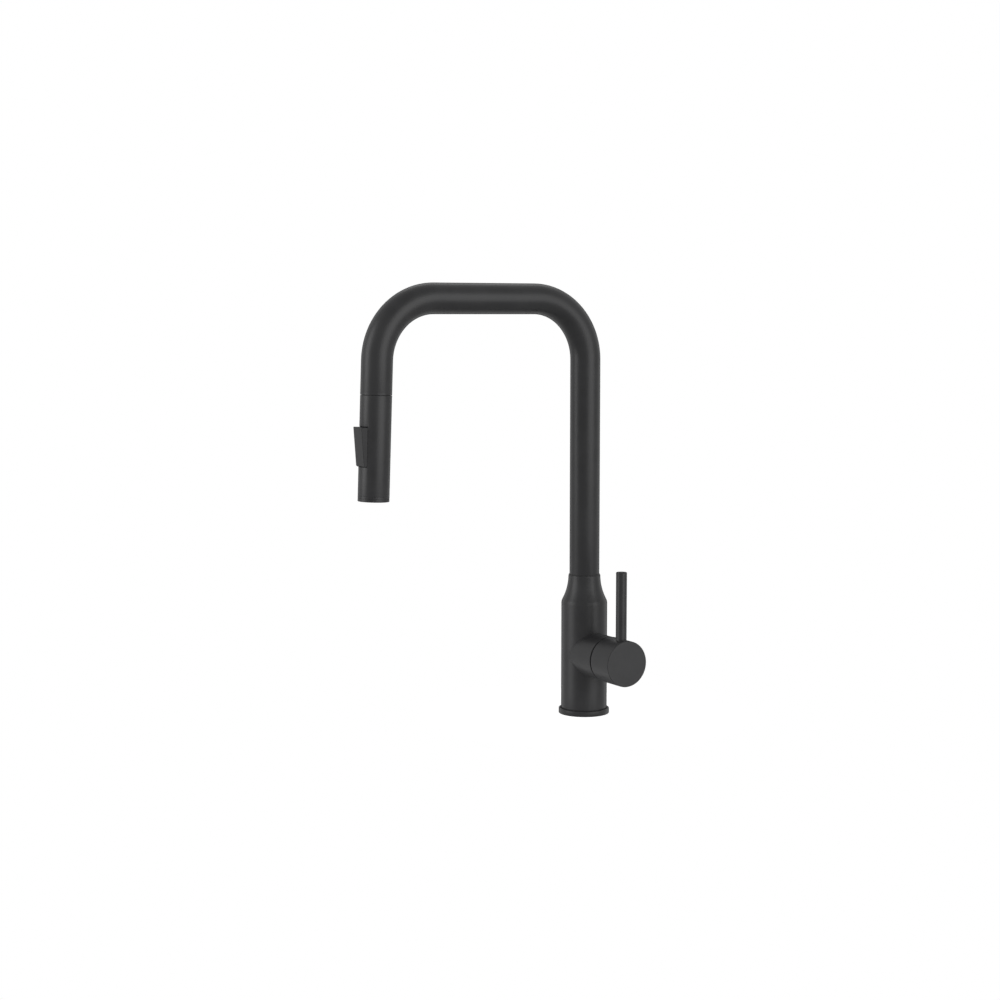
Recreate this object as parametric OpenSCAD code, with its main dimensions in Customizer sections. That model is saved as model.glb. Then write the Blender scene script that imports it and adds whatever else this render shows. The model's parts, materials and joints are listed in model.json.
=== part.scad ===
// Single-lever kitchen faucet with a swivelling gooseneck spout and a pull-down spray head.
// Frame: origin at the centre of the base on the deck, +Z up, spout towards -Y, handle on +X.

/* [Body] */
// Diameter of the straight body
body_d = 43.2; // [42:0.2:48]
// Diameter of the neck collar at the top of the body
neck_d = 30; // [29.6:0.2:34]
// Height of the neck collar's top edge above the deck
neck_top = 131.6; // [130:0.2:140]
// Radius of the hollow flare below the neck
flare_r = 50; // [46:1:58]
// Radius that rounds the shoulder under the flare
shoulder_r = 8; // [6:0.5:10]
// How far the base ring stands out past the body
base_ring_w = 2.2; // [1.6:0.1:5]
// Height of the base ring
base_ring_h = 5; // [4:0.5:8]
// Clearance between the base ring and the body, on the radius
base_ring_gap = 0.25; // [0.1:0.05:0.4]
// Diameter of the threaded socket for the mounting shank
socket_d = 34.4; // [33:0.1:35]
// Length of the socket's thread
socket_thread = 12; // [8:1:16]
// Depth of the hollow above the deck
socket_depth = 28; // [22:1:30]
// Bore of the threaded ports for the supply hoses
port_d = 7; // [6.6:0.1:7.2]
// Length of the thread in each port
port_thread = 10; // [8:1:12]

/* [Spout] */
// Outside diameter of the spout tube
tube_d = 28; // [27:0.2:28.4]
// Wall of the spout tube
tube_wall = 1.2; // [1:0.1:1.4]
// Centre-line radius of both bends
bend_r = 56; // [50:1:62]
// Height of the centre line of the level stretch above the deck
spout_top = 389.2; // [360:1:430]
// Length of the level stretch between the bends
level_len = 103.8; // [90:0.5:140]
// Outward lean of the falling leg
leg_tilt = 2; // [0:0.5:5]
// Length of the falling leg from the bend to the dock's lower face
leg_len = 30.2; // [29:0.2:40]
// Clearance round the riser where it enters the neck, on the radius
neck_gap = 0.25; // [0.15:0.05:0.3]

/* [Hose] */
// Outside diameter of the pull-out hose
hose_d = 11; // [9:0.5:11.5]
// Bore of the pull-out hose
hose_bore = 7; // [5:0.5:7]

/* [Handle] */
// Height of the handle's axis above the deck
handle_z = 57.5; // [54:0.5:62]
// Diameter of the side boss
boss_d = 41.6; // [41:0.2:42]
// Distance from the body's axis to the end of the side boss
boss_end = 42.6; // [41.5:0.1:44]
// Diameter of the handle's hub
hub_d = 42.4; // [42.2:0.2:45]
// Width of the open seam between the boss and the hub, where the dome shows
seam = 2.3; // [1.5:0.1:2.5]
// Length of the hub
hub_len = 27.9; // [27:0.1:36]
// Diameter of the lever rod
lever_d = 10; // [8:0.5:12]
// Distance from the hub's end face to the lever's axis
lever_setback = 9.9; // [8:0.1:11]
// Height of the lever's tip above the handle's axis
lever_height = 83.5; // [60:0.5:110]

/* [Cartridge] */
// Diameter of the ceramic cartridge
cart_d = 34.6; // [34:0.1:34.8]
// Distance from the body's axis to the seat of the cartridge
cart_seat = 16; // [15.6:0.1:16.4]
// Thickness of the cartridge's base
cart_base_h = 3.5; // [3:0.1:4]
// Thickness of each ceramic disc
disc_h = 2.5; // [2.2:0.1:2.6]
// Thickness of the drive plate on the moving disc
drive_h = 3.8; // [3.6:0.1:4]
// Distance from the ball's centre to the tilt pivot
drive_arm = 6.3; // [6.1:0.1:6.5]
// Full lift of the lever
lift_angle = 25; // [15:1:25]
// Diameter of the stem
stem_d = 8; // [7:0.2:8]
// Side of the stem's square end
stem_square = 7; // [6:0.2:7.4]

/* [Spray head] */
// Diameter of the spray head
head_d = 28; // [27:0.2:29]
// Length of the spray head below the dock
head_len = 93.7; // [90:0.5:110]
// Wall of the spray head's shell
head_wall = 1.6; // [1.4:0.1:1.8]
// Length of the neck that enters the dock
dock_depth = 12.2; // [11:0.1:12.4]
// Diameter of the neck that enters the dock
dock_neck_d = 18.6; // [18.2:0.1:18.8]
// Height of the face ring at the outlet
face_ring_h = 4.7; // [4:0.1:6]
// Number of spray nozzles
nozzle_count = 20; // [12:1:24]
// Diameter of the aerator
aerator_d = 14; // [12:0.5:15]

/* [Toggle] */
// Width of the spray toggle
toggle_w = 16; // [14:0.5:16]
// Length of the spray toggle
toggle_len = 34.3; // [30:0.5:36]
// Distance from the dock to the toggle's top
toggle_top = 28.4; // [27:0.2:32]
// How far the toggle stands out of the head at its top
toggle_proud = 3.6; // [2:0.2:5]
// Diameter of the toggle's pin
toggle_pin_d = 2; // [1.6:0.1:2.2]
// Distance of the toggle's pin from the head's axis
toggle_pin_offset = 9.5; // [9.3:0.1:9.7]

/* [Fits] */
// Running clearance of turning and sliding fits, on the radius
running = 0.05; // [0.03:0.01:0.08]
// Gap between pieces that move past each other
gap = 0.3; // [0.25:0.05:0.4]
// Clearance of pieces that are seated and stay still, on the radius
seat_fit = 0.1; // [0.05:0.05:0.15]
// Width of small edge breaks
edge = 0.4; // [0.2:0.1:0.5]

/* [Hidden] */
$fn = 96;

cut = 1;                                  // how far a cutting shape runs past a face
hair = 0.02;                              // between faces that touch
finish_black = "#2b2b2c";
body_r = body_d / 2;
neck_r = neck_d / 2;
tube_r = tube_d / 2;
tube_bore_r = tube_r - tube_wall;
hose_r = hose_d / 2;

// The shoulder's rounding touches the side of the body and the flare
shoulder_z = neck_top - sqrt(pow(flare_r + shoulder_r, 2) - pow(neck_r + flare_r - body_r + shoulder_r, 2));
shoulder_touch_r = body_r - shoulder_r
    + shoulder_r * (neck_r + flare_r - body_r + shoulder_r) / (flare_r + shoulder_r);
neck_round = 0.8;

// Swivel of the spout
bush_w = 2;
bush_h = 8;
neck_land = 17.6;                         // length of the close bore at the neck's mouth
swivel_len = 26;                          // length of the pocket under it
swivel_pocket_r = tube_r + bush_w;
swivel_top = neck_top - neck_land;
clip_h = 1.2;
clip_w = 1.5;
clip_groove = 0.6;
clip_setback = 1.5;
washer_h = 2;
washer_lip = 2;
washer_z = swivel_top - swivel_len;
riser_bottom = washer_z + washer_h + running;
clip_z = riser_bottom + clip_setback;
lower_bush_z = clip_z + clip_h + gap;
hose_channel_gap = 0.7;
hose_channel_r = hose_r + hose_channel_gap;

// Underside of the body
socket_r = socket_d / 2;
socket_relief = 0.4;
gasket_h = 1.6;
gasket_w = 2.1;
gasket_wall = 1.1;                        // metal left outside the gasket's groove
gasket_r = body_r - gasket_wall;
gasket_inner = gasket_r - gasket_w;
foot_groove_w = 0.6;                      // depth of the shadow groove over the base ring
foot_groove_h = 0.8;

// Waterways: the supply ports stand side by side in line with the seat's two upper ports
supply_port_x = 8;
mixed_port_x = 11;
waterway_r = 2.8;
seat_port = [9, 4.5];                     // sideways and up from the handle's axis
seat_mixed_drop = 8.5;

// Cartridge, along the handle's axis from the body's axis
cart_r = cart_d / 2;
pocket_r = cart_r + gap;
seal_r = 4.2;
seal_h = 1.1;
fixed_disc_z = cart_seat + cart_base_h;
moving_disc_z = fixed_disc_z + disc_h + hair;
drive_z = moving_disc_z + disc_h;
carrier_play = 0.2;                       // end play of the carrier in the housing
carrier_z = drive_z + drive_h + carrier_play;
carrier_flange_h = 2.5;
carrier_neck_r = 9.8;
housing_top_z = carrier_z + carrier_flange_h + carrier_play;
housing_top_h = 2.8;
housing_end = housing_top_z + housing_top_h;
housing_bore_r = 15;
disc_r = housing_bore_r - seat_fit;
moving_r = 11.5;
mixing_pocket_r = 6.5;
mixing_pocket_x = 3;
ball_r = 1.9;
ball_hole_gap = 0.4;
ball_z = drive_z + ball_r + seat_fit;
pivot_x = ball_z + drive_arm;
carrier_lip = 4.7;                        // how far the carrier reaches past the tilt pivot
carrier_end = pivot_x + carrier_lip;
stem_r = stem_d / 2;
stem_back = 2.5;                          // how far the stem's shank reaches behind the pivot
drive_finger_r = 1.3;
stem_pin_r = 1.5;
stem_pin_inset = 0.6;
nut_bore_r = 11;
nut_z = housing_end + seat_fit;

// Round joint between the boss and the hub, about the tilt pivot
boss_r = boss_d / 2;
boss_break = 0.4;
dome_step = 1.2;                          // how far the dome's foot is set in from the boss
hub_r = hub_d / 2;
dome_r = norm([boss_end - pivot_x, boss_r - dome_step]) - hair;
hub_cave_r = norm([boss_end - boss_break - pivot_x, boss_r]) + gap;
dome_bore_r = 15;
dome_plug_h = 1.9;
nut_end = boss_end - dome_plug_h - carrier_play;
hub_start = boss_end + seam;
hub_face = hub_start + hub_len;
lever_x = hub_face - lever_setback;
lever_r = lever_d / 2;
lever_root = 8;                           // height of the rod's lower end above the axis
lever_wall = 1.5;                         // from the stem's end to the lever's axis
stem_shoulder = 0.2;                      // how far the round shank reaches into the hub
stem_square_fit = 0.05;
stem_end = lever_x - lever_wall;
screw_r = 2.5;
screw_hex_r = 1.25;
screw_hex_h = 3;
screw_x = (pivot_x + hub_cave_r + stem_end) / 2;
screw_len = 8;
screw_top = handle_z - stem_square / 2 - stem_square_fit;
plug_inset = 0.3;

// Falling leg and dock, in the leg's frame: origin on the dock's lower face, +Z back up the leg
level_end = bend_r + level_len;
leg_step = 0.05;                          // the leg enters the end of the bend as a hair thinner rod
leg_lap = 1;
dock_flange_h = 2.1;
dock_sleeve_top = 26;
dock_bore_r = dock_neck_d / 2 + gap;
dock_lead = 1.2;                          // width and height of the dock's lead-in
magnet_r = 11.1;
magnet_h = 5;
magnet_stop = 0.5;                        // air gap between the magnet and the catch ring
magnet_z = dock_depth + magnet_stop;
magnet_hose_gap = 1.7;
guide_z = magnet_z + magnet_h + seat_fit;
guide_lead = 1;
hose_split = 20;                          // where the stretch that leaves the spout begins
hose_start = socket_thread + cut;         // the hose is cut off just above the socket's thread
ferrule_top = 9;
ferrule_w = 1;
ferrule_r = hose_r + ferrule_w;
catch_h = 1.2;

// Spray head, in the same frame, below the dock
head_r = head_d / 2;
head_bore_r = head_r - head_wall;
head_top = -gap;
head_bottom = -head_len;
core_r = head_bore_r - seat_fit;
core_top = -9;
core_inset = 5.9;                         // from the outlet to the core's lower end
core_bottom = head_bottom + core_inset;
chamber_h = 7;
chamber_wall = 1.3;
seal_groove_h = 2;
seal_groove_w = 1;
core_seal_drop = 6;
top_plate = 1.5;
lip_top = -4.4;
lip_bottom = -6.6;
hose_play = 0.2;                          // end play of the hose's fitting in the head's neck
fitting_z = lip_top + hose_play;
cone_neck_r = 4.6;
cone_nose_r = 4.4;
cone_bore_r = 3;
cone_flange_r = ferrule_r - hose_play;
cone_end = -18;
cone_seal_rise = 2.5;
check_bore_r = cone_nose_r + 2 * running;
check_ring_r = 2.4;
check_ring_h = 1.8;
check_seat_z = -21;
check_bottom = -30;
check_travel = 1.6;
poppet_r = 3.6;
poppet_stem_r = 1;
poppet_h = 1.5;
poppet_z = check_seat_z - poppet_h - seat_fit;
spring_r = 2.6;
spring_wire = 0.5;
cage_h = 1.2;
cage_hole_r = 0.8;
cage_hole_place = 3;
toggle_bottom = toggle_top + toggle_len;
toggle_pin_z = -(toggle_top + toggle_len / 2);
toggle_pin_len = 18.6;
toggle_pin_inset = 0.2;
toggle_window = toggle_w + 2 * gap;
toggle_well = 6.8;                        // distance of the well's flat floor from the head's axis
toggle_swing = 1.1;                       // room above the toggle for its swing
toggle_foot = 0.5;                        // room below it
toggle_skin = 1.7;                        // from the pin's axis out to the toggle's back
toggle_eye_r = 2.3;
toggle_back_step = 1;
toggle_back_z = 4;
toggle_chamfer = 1.4;
finger_w = 2.4;
finger_reach = 6;                         // from the pin to the diverter's axis
finger_t = 1.6;
finger_len = 4.3;
spool_r = 2.6;
spool_waist_r = 1.4;
spool_y = -(toggle_pin_offset - finger_reach);
spool_len = 22;
spool_room = 2;
spool_port_r = 1.5;
spool_port_z = 8;
channel_y = 4.6;
channel_r = 2.8;
face_groove = 2.9;
face_groove_w = 0.3;
face_groove_depth = 0.25;
face_lip = 0.9;
plate_inset = 2.2;                        // from the outlet to the nozzle plate
plate_z = head_bottom + plate_inset;
plate_h = 2;
mat_h = 1.5;
nozzle_ring_r = 10;
nozzle_r = 0.9;
nozzle_bore_r = 0.4;
nozzle_reach = 0.8;                       // how far the nozzles stand out of the plate
aerator_wall = 1;
aerator_lap = 2;                          // how far the aerator's housing reaches into the core
screen_h = 1.2;
screen_pitch = 2.2;
screen_hole_r = 0.7;

// ---------- frames and helpers ----------

// Turns the XY plane into the YZ plane, so that X becomes Y and Y becomes Z
module in_spout_plane() {
    rotate([90, 0, 90])
        children();
}

// Local Z runs out along the handle's axis, and local X points down
module on_handle_axis(x = 0) {
    translate([x, 0, handle_z])
        rotate([0, 90, 0])
            children();
}

// The leg's frame: origin on the dock's lower face, +Z up the leg, -Y outwards
module on_leg(z = 0) {
    in_spout_plane()
        translate([-level_end, spout_top - bend_r, 0])
            rotate([0, 0, 180 - leg_tilt])
                translate([bend_r, 0, 0])
                    rotate([90, -90, 0])
                        translate([0, 0, z - leg_len])
                            children();
}

// Tube or ring standing on Z = 0
module ring(outer, inner, h) {
    difference() {
        cylinder(r = outer, h = h);
        translate([0, 0, -cut])
            cylinder(r = inner, h = h + 2 * cut);
    }
}

// Rod standing on Z = 0 with its top edge broken
module rod(r, h, top = edge) {
    cylinder(r = r, h = h - top);
    translate([0, 0, h - top])
        cylinder(r1 = r, r2 = r - top, h = top);
}

// Places children at the three ports of the cartridge's seat, facing along the handle's axis
module at_seat_port(which) {
    place = which == "hot" ? [-seat_port[1], seat_port[0]]
        : which == "cold" ? [-seat_port[1], -seat_port[0]]
        : [seat_mixed_drop, 0];
    translate([place[0], place[1], 0])
        children();
}

// Round bar of radius r along the spout's centre line, from height z0 to a point in the leg's frame
module along_spout(r, z0, leg_end) {
    translate([0, 0, z0])
        cylinder(r = r, h = spout_top - bend_r - z0);
    in_spout_plane()
        translate([-bend_r, spout_top - bend_r, 0])
            rotate_extrude(angle = 90)
                translate([bend_r, 0])
                    circle(r = r);
    translate([0, -bend_r, spout_top])
        rotate([90, 0, 0])
            cylinder(r = r, h = level_len);
    in_spout_plane()
        translate([-level_end, spout_top - bend_r, 0])
            rotate([0, 0, 90])
                rotate_extrude(angle = 90 - leg_tilt)
                    translate([bend_r, 0])
                        circle(r = r);
    on_leg(leg_end)
        cylinder(r = r - leg_step, h = leg_len - leg_end + leg_lap);
}

// ---------- body ----------

module body_outline() {
    difference() {
        union() {
            square([body_r, shoulder_z]);
            translate([body_r - shoulder_r, shoulder_z])
                circle(r = shoulder_r);
            square([shoulder_touch_r, neck_top - neck_round]);
            square([neck_r - neck_round, neck_top]);
            translate([neck_r - neck_round, neck_top - neck_round])
                circle(r = neck_round);
        }
        translate([neck_r + flare_r, neck_top])
            circle(r = flare_r);
        translate([-2 * shoulder_r, -cut])
            square([2 * shoulder_r, neck_top + 2 * cut]);
    }
}

module body_form() {
    rotate_extrude()
        body_outline();
    on_handle_axis()
        rod(boss_r, boss_end, boss_break);
}

// One supply port with its threaded mouth in the hollow, and the drilling to the cartridge's seat
module waterway(x, y, rise) {
    translate([x, y, socket_depth - cut]) {
        cylinder(d = port_d, h = port_thread + cut);
        cylinder(r = waterway_r, h = handle_z + rise - socket_depth + cut);
    }
    translate([x, y, handle_z + rise])
        rotate([0, 90, 0])
            cylinder(r = waterway_r, h = cart_seat + cut - x);
    translate([x, y, handle_z + rise])
        sphere(r = waterway_r);
}

module body() {
    color(finish_black)
        difference() {
            body_form();
            translate([0, 0, -cut])
                cylinder(r = socket_r, h = socket_thread + cut);
            translate([0, 0, socket_thread])
                cylinder(r = socket_r + socket_relief, h = socket_depth - socket_thread);
            translate([0, 0, socket_depth - cut])
                cylinder(r = hose_channel_r, h = neck_top);
            translate([0, 0, washer_z])
                cylinder(r = swivel_pocket_r, h = swivel_top - washer_z);
            translate([0, 0, swivel_top - cut])
                cylinder(r = tube_r + neck_gap, h = neck_top - swivel_top + 2 * cut);
            translate([0, 0, -cut])
                ring(gasket_r + seat_fit, gasket_inner - seat_fit, gasket_h + cut);
            translate([0, 0, base_ring_h])
                ring(body_r + cut, body_r - foot_groove_w, foot_groove_h);
            on_handle_axis(cart_seat)
                cylinder(r = pocket_r, h = boss_end);
            for (side = [-1, 1])
                waterway(supply_port_x, side * seat_port[0], seat_port[1]);
            waterway(mixed_port_x, 0, -seat_mixed_drop);
        }
}

module base_ring() {
    round = 0.8;
    color(finish_black)
        rotate_extrude()
            translate([body_r + base_ring_gap, 0]) {
                width = base_ring_w - base_ring_gap;
                square([width, base_ring_h - round]);
                square([width - round, base_ring_h]);
                translate([width - round, base_ring_h - round])
                    circle(r = round);
            }
}

module base_gasket() {
    color("#1c1c1c")
        ring(gasket_r, gasket_inner, gasket_h);
}

module swivel_bush(z) {
    color("#d9d9d4")
        translate([0, 0, z])
            ring(swivel_pocket_r, tube_r + running, bush_h);
}

module upper_bush() {
    swivel_bush(swivel_top - bush_h);
}

module lower_bush() {
    swivel_bush(lower_bush_z);
}

module thrust_washer() {
    color("#e8e6de")
        translate([0, 0, washer_z])
            ring(swivel_pocket_r - seat_fit, hose_channel_r + washer_lip, washer_h);
}

// ---------- cartridge ----------

module cartridge_base() {
    color("#c9c9c2")
        on_handle_axis(cart_seat)
            difference() {
                cylinder(r = cart_r, h = cart_base_h);
                for (which = ["hot", "cold", "mixed"])
                    at_seat_port(which) {
                        translate([0, 0, -cut])
                            cylinder(r = waterway_r, h = cart_base_h + 2 * cut);
                        translate([0, 0, -cut])
                            cylinder(r = seal_r, h = seal_h + cut);
                    }
            }
}

module port_seal(which) {
    color("#202020")
        on_handle_axis(cart_seat)
            at_seat_port(which)
                ring(seal_r, waterway_r, seal_h);
}

module hot_seal() {
    port_seal("hot");
}

module cold_seal() {
    port_seal("cold");
}

module mixed_seal() {
    port_seal("mixed");
}

module fixed_disc() {
    color("#f1eee6")
        on_handle_axis(fixed_disc_z)
            difference() {
                cylinder(r = disc_r, h = disc_h);
                for (which = ["hot", "cold", "mixed"])
                    at_seat_port(which)
                        translate([0, 0, -cut])
                            cylinder(r = waterway_r, h = disc_h + 2 * cut);
            }
}

module cartridge_housing() {
    color("#dddbd2")
        on_handle_axis(fixed_disc_z)
            difference() {
                cylinder(r = cart_r, h = housing_end - fixed_disc_z);
                translate([0, 0, -cut])
                    cylinder(r = housing_bore_r, h = housing_top_z - fixed_disc_z + cut);
                cylinder(r = carrier_neck_r + running, h = housing_end);
            }
}

module retaining_nut() {
    color("#b08d4f")
        on_handle_axis(nut_z)
            ring(pocket_r - seat_fit, nut_bore_r, nut_end - nut_z);
}

// Round end of the boss, centred on the tilt pivot, with a plug that seats in the boss
module dome_cap() {
    color(finish_black)
        on_handle_axis()
            difference() {
                union() {
                    intersection() {
                        translate([0, 0, pivot_x])
                            sphere(r = dome_r);
                        translate([0, 0, boss_end])
                            cylinder(r = boss_d, h = boss_d);
                    }
                    translate([0, 0, boss_end - dome_plug_h])
                        cylinder(r = pocket_r - seat_fit, h = dome_plug_h + cut);
                }
                cylinder(r = dome_bore_r, h = boss_d * 2);
            }
}

module moving_disc() {
    color("#f1eee6")
        on_handle_axis(moving_disc_z)
            difference() {
                cylinder(r = moving_r, h = disc_h);
                translate([mixing_pocket_x, 0, -cut])
                    cylinder(r = mixing_pocket_r, h = cut + disc_h / 2);
            }
}

module drive_plate() {
    color("#5a6b78")
        on_handle_axis(drive_z)
            difference() {
                cylinder(r = moving_r, h = drive_h);
                translate([0, 0, -cut])
                    cylinder(r = ball_r + ball_hole_gap, h = drive_h + 2 * cut);
            }
}

// Slot in which the stem tilts: local X points down, and the stem's outer end drops as it lifts
module stem_slot() {
    drop = (carrier_end - pivot_x) * tan(lift_angle) + stem_r / cos(lift_angle) + gap;
    rise = stem_back * tan(lift_angle) + stem_r / cos(lift_angle) + gap;
    width = stem_d + 2 * gap;
    translate([-rise, -width / 2, -cut])
        cube([rise + drop, width, carrier_end - carrier_z + 2 * cut]);
}

module stem_carrier() {
    color("#5a6b78")
        on_handle_axis(carrier_z)
            difference() {
                union() {
                    cylinder(r = housing_bore_r - gap, h = carrier_flange_h);
                    cylinder(r = carrier_neck_r, h = carrier_end - carrier_z);
                }
                stem_slot();
                translate([0, 0, pivot_x - carrier_z])
                    rotate([90, 0, 0])
                        cylinder(r = stem_pin_r, h = 4 * carrier_neck_r, center = true);
            }
}

module stem_pin() {
    color("#b9bcc0")
        on_handle_axis(pivot_x)
            rotate([90, 0, 0])
                cylinder(r = stem_pin_r, h = 2 * (carrier_neck_r - stem_pin_inset), center = true);
}

// ---------- handle ----------

module stem() {
    shank_end = hub_cave_r + stem_shoulder;
    color("#b9bcc0")
        on_handle_axis(pivot_x)
            difference() {
                union() {
                    translate([0, 0, -drive_arm])
                        sphere(r = ball_r);
                    translate([0, 0, -drive_arm])
                        cylinder(r = drive_finger_r, h = drive_arm);
                    translate([0, 0, -stem_back])
                        cylinder(r = stem_r, h = shank_end + stem_back);
                    translate([-stem_square / 2, -stem_square / 2, shank_end - cut])
                        cube([stem_square, stem_square, stem_end - pivot_x - shank_end + cut]);
                }
                rotate([90, 0, 0])
                    cylinder(r = stem_pin_r + running, h = 2 * stem_d, center = true);
            }
}

module hub() {
    socket = stem_square + 2 * stem_square_fit;
    socket_end = stem_end + gap;
    color(finish_black)
        difference() {
            on_handle_axis(hub_start)
                rod(hub_r, hub_len, edge);
            on_handle_axis(pivot_x)
                sphere(r = hub_cave_r);
            on_handle_axis(pivot_x)
                cylinder(r = stem_r + seat_fit, h = hub_cave_r + stem_shoulder + gap);
            translate([hub_start, -socket / 2, handle_z - socket / 2])
                cube([socket_end - hub_start, socket, socket]);
            translate([lever_x, 0, handle_z + lever_root - hair])
                cylinder(r = lever_r + hair, h = hub_r);
            translate([screw_x, 0, handle_z - 2 * hub_r])
                cylinder(r = screw_r + running, h = 2 * hub_r);
        }
}

module lever_rod() {
    color(finish_black)
        translate([lever_x, 0, handle_z + lever_root])
            rod(lever_r, lever_height - lever_root, edge);
}

module set_screw() {
    color("#8f9296")
        translate([screw_x, 0, screw_top - screw_len])
            difference() {
                cylinder(r = screw_r, h = screw_len);
                translate([0, 0, -cut])
                    cylinder(r = screw_hex_r, h = cut + screw_hex_h, $fn = 6);
            }
}

// Cap that closes the screw's hole, seated on the set screw and level with the hub
module screw_plug() {
    color(finish_black)
        intersection() {
            translate([screw_x, 0, screw_top - screw_len - hub_r])
                cylinder(r = screw_r, h = hub_r - seat_fit);
            on_handle_axis(hub_start)
                cylinder(r = hub_r - plug_inset, h = hub_len);
        }
}

// ---------- spout ----------

module spout_tube() {
    color(finish_black)
        difference() {
            along_spout(tube_r, riser_bottom, dock_flange_h);
            along_spout(tube_bore_r, riser_bottom - cut, dock_flange_h - cut);
            translate([0, 0, clip_z])
                ring(tube_r + cut, tube_r - clip_groove, clip_h);
        }
}

module retaining_clip() {
    color("#b9bcc0")
        translate([0, 0, clip_z])
            ring(tube_r + clip_w, tube_r - clip_groove, clip_h);
}

module dock_sleeve() {
    color("#262627")
        on_leg()
            difference() {
                union() {
                    rod(tube_r, dock_flange_h, edge / 2);
                    cylinder(r = tube_bore_r - running, h = dock_sleeve_top);
                }
                translate([0, 0, -cut])
                    cylinder(r = dock_bore_r, h = dock_sleeve_top);
                translate([0, 0, magnet_z])
                    cylinder(r = magnet_r + running, h = dock_sleeve_top);
                translate([0, 0, -hair])
                    cylinder(r1 = dock_bore_r + dock_lead, r2 = dock_bore_r, h = dock_lead);
            }
}

module dock_magnet() {
    color("#7f8286")
        on_leg(magnet_z)
            ring(magnet_r, hose_r + magnet_hose_gap, magnet_h);
}

module hose_guide() {
    color("#e8e6de")
        on_leg(guide_z)
            difference() {
                ring(magnet_r, hose_r + gap, dock_sleeve_top - guide_z);
                translate([0, 0, -hair])
                    cylinder(r1 = hose_r + gap + guide_lead, r2 = hose_r + gap, h = guide_lead);
            }
}

module pull_out_hose() {
    color("#3a3d40")
        difference() {
            along_spout(hose_r, hose_start, hose_split);
            along_spout(hose_bore / 2, hose_start - cut, hose_split - cut);
        }
}

// ---------- end of the hose ----------

module hose_tail() {
    color("#3a3d40")
        on_leg(ferrule_top)
            ring(hose_r, hose_bore / 2, hose_split - ferrule_top);
}

module hose_ferrule() {
    color("#b9bcc0")
        on_leg(fitting_z)
            ring(ferrule_r, hose_bore / 2, ferrule_top - fitting_z);
}

module hose_cone() {
    flange_top = lip_bottom - gap;
    flange_bottom = core_top + seat_fit;
    color("#b08d4f")
        on_leg()
            difference() {
                union() {
                    translate([0, 0, flange_bottom])
                        cylinder(r = cone_neck_r, h = fitting_z - flange_bottom);
                    translate([0, 0, flange_bottom])
                        cylinder(r = cone_flange_r, h = flange_top - flange_bottom);
                    translate([0, 0, cone_end])
                        cylinder(r = cone_nose_r, h = flange_bottom - cone_end + cut);
                }
                translate([0, 0, cone_end - cut])
                    cylinder(r = cone_bore_r, h = fitting_z - cone_end + 2 * cut);
                translate([0, 0, cone_end + cone_seal_rise])
                    ring(cone_nose_r + cut, cone_nose_r - seal_groove_w, seal_groove_h);
            }
}

module cone_seal() {
    color("#1c1c1c")
        on_leg(cone_end + cone_seal_rise)
            ring(cone_nose_r, cone_nose_r - seal_groove_w, seal_groove_h);
}

// ---------- spray head ----------

// Box cut through the head's outer side, where the toggle rocks
module toggle_well_cut(depth) {
    z_low = -toggle_bottom - toggle_foot;
    z_high = -toggle_top + toggle_swing;
    translate([-toggle_window / 2, -3 * head_r, z_low])
        cube([toggle_window, 3 * head_r - depth, z_high - z_low]);
}

// Blind bore across the well for the toggle's pin
module toggle_pin_bore(clearance) {
    translate([0, -toggle_pin_offset, toggle_pin_z])
        rotate([0, 90, 0])
            cylinder(d = toggle_pin_d + 2 * clearance, h = toggle_pin_len, center = true);
}

module head_shell() {
    shell_bottom = head_bottom + face_ring_h;
    color(finish_black)
        on_leg()
            difference() {
                translate([0, 0, shell_bottom])
                    rod(head_r, head_top - shell_bottom, edge);
                translate([0, 0, shell_bottom - cut])
                    cylinder(r = head_bore_r, h = head_top - top_plate - shell_bottom + cut);
                translate([0, 0, head_top - 2 * top_plate])
                    cylinder(r = dock_neck_d / 2 + seat_fit, h = 3 * top_plate);
                toggle_well_cut(toggle_well);
                toggle_pin_bore(0);
            }
}

module head_core() {
    color("#3b3c3e")
        on_leg()
            difference() {
                translate([0, 0, core_bottom])
                    cylinder(r = core_r, h = core_top - core_bottom);
                toggle_well_cut(toggle_well - seat_fit);
                // seat of the hose and the check valve
                translate([0, 0, check_bottom])
                    cylinder(r = check_bore_r, h = -check_bottom);
                translate([0, 0, check_bottom - check_travel - gap])
                    cylinder(r = poppet_stem_r + gap, h = check_travel + gap + cut);
                // main channel to the spray chamber
                translate([0, channel_y, core_bottom + chamber_h - cut])
                    cylinder(r = channel_r, h = check_bottom - core_bottom - chamber_h + 2 * cut);
                translate([0, 0, core_bottom - cut])
                    cylinder(r = core_r - chamber_wall, h = chamber_h + cut);
                // bore of the diverter and its two ports
                translate([0, spool_y, toggle_pin_z - spool_len / 2 - spool_room])
                    cylinder(r = spool_r + running, h = spool_len + 2 * spool_room);
                for (z = [-spool_port_z, spool_port_z])
                    translate([0, spool_y, toggle_pin_z + z])
                        rotate([-90, 0, 0])
                            cylinder(r = spool_port_r, h = channel_y - spool_y);
                // ends of the toggle's pin, and the way in for its finger
                toggle_pin_bore(seat_fit);
                translate([-finger_w / 2 - 2 * gap, -toggle_well - cut, toggle_pin_z - finger_t - 2 * gap])
                    cube([finger_w + 4 * gap, toggle_well + cut + spool_y, 2 * finger_t + 4 * gap]);
                // groove of the seal
                translate([0, 0, core_top - core_seal_drop])
                    ring(core_r + cut, core_r - seal_groove_w, seal_groove_h);
            }
}

module core_seal() {
    color("#1c1c1c")
        on_leg(core_top - core_seal_drop)
            ring(head_bore_r, core_r - seal_groove_w + hair, seal_groove_h);
}

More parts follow.
